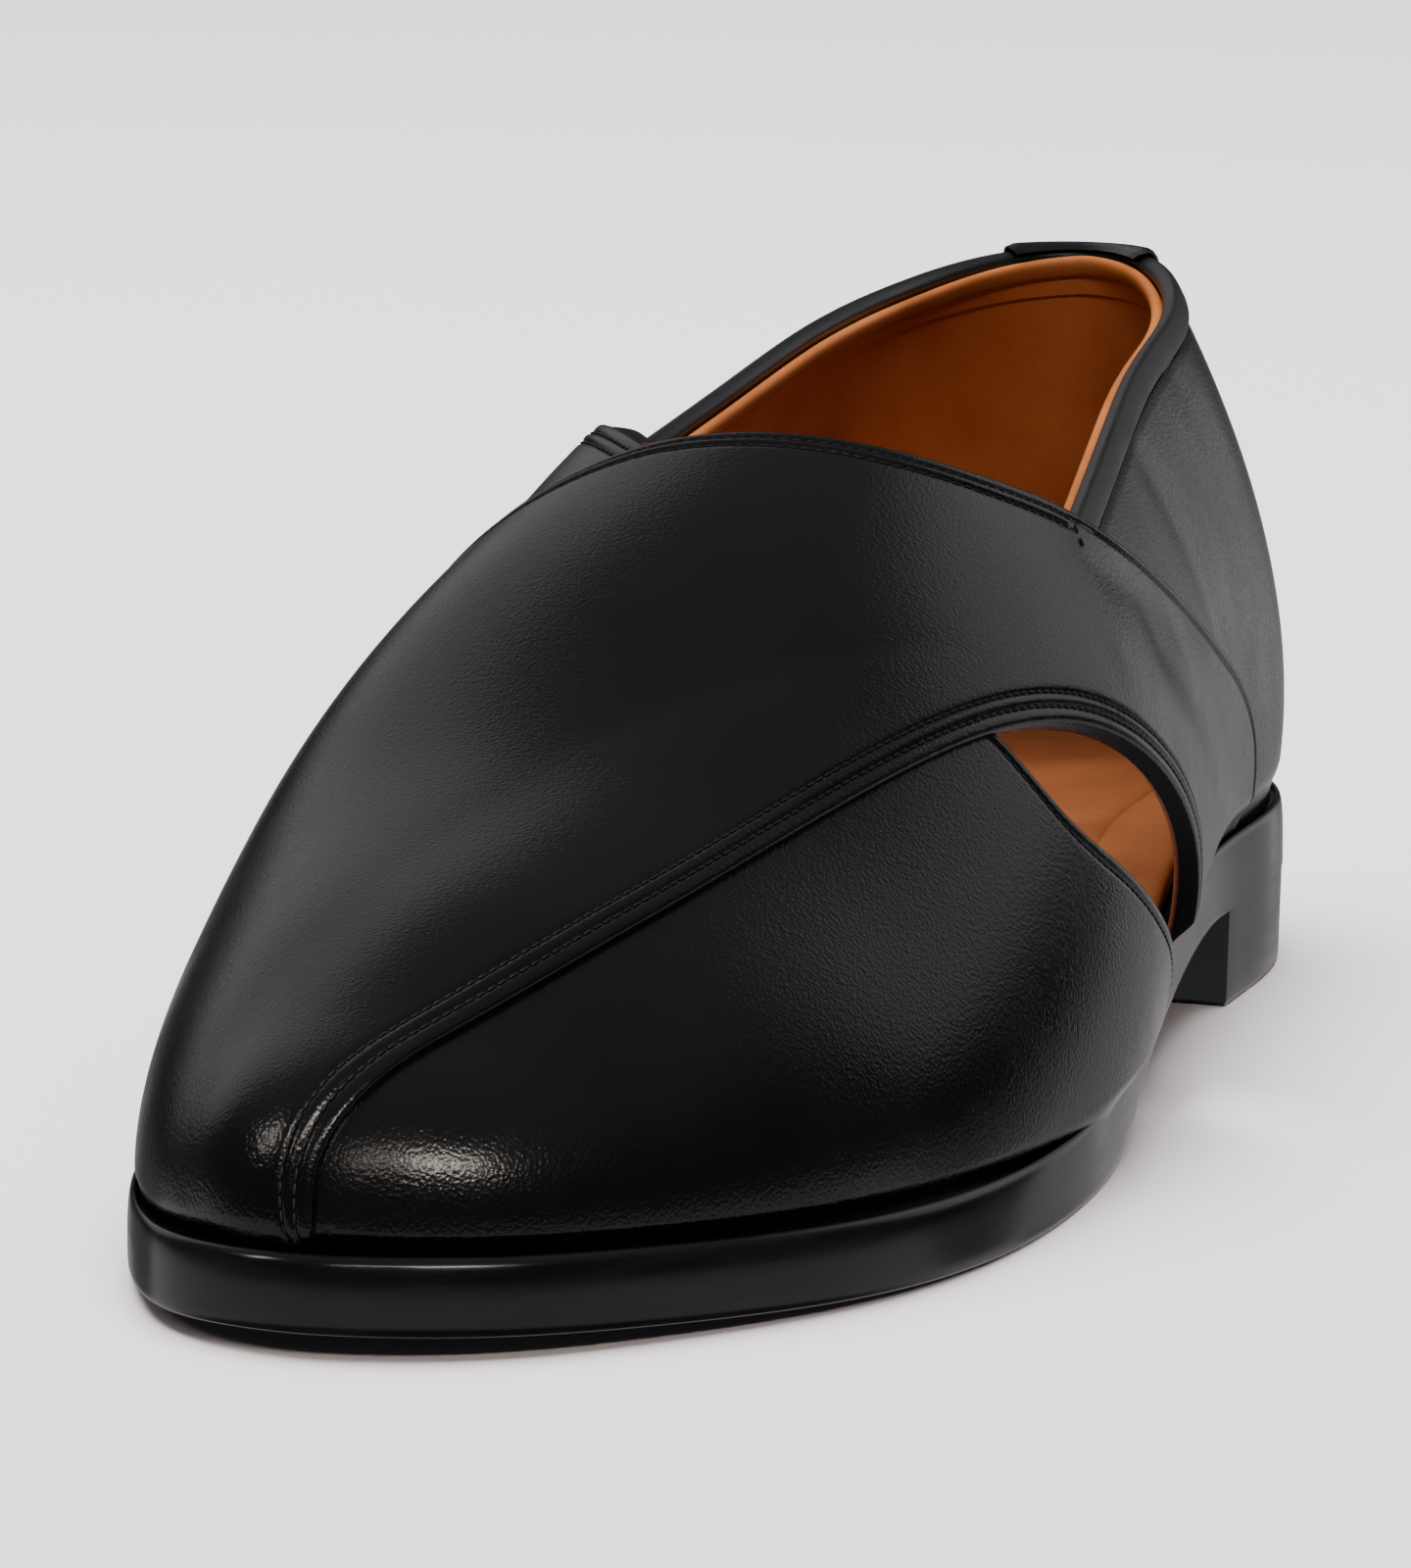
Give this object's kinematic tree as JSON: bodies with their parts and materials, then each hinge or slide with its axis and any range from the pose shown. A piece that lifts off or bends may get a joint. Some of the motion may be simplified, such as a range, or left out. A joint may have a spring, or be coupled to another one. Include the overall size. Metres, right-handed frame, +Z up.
{
  "type": "peshawari chappal shoe",
  "caption": "Left closed-toe peshawari chappal: crossed black leather panels with side cut-outs, a closed heel, tan lining and a low-heeled sole; worn as a slip-on shoe.",
  "frame": {"origin": "on the floor under the middle of the shoe's box", "axes": "+Z up, the heel towards +Y and the toe towards -Y, the wearer's outer side towards +X"},
  "size_m": [0.103, 0.2982, 0.0901],
  "materials": {
    "black_leather": "polished smooth-grain calf, glossy",
    "black_binding": "thin rolled leather binding, satin",
    "tan_leather": "undyed tan lining leather, matt",
    "black_sole_edge": "waxed and burnished sole edge",
    "black_heel": "smooth black heel block, satin"
  },
  "bodies": {
    "root": {"upper": "black_leather", "topline_binding": "black_binding", "back_strip": "black_leather", "insole": "tan_leather", "outsole": "black_sole_edge", "heel": "black_heel"}
  },
  "joints": []
}
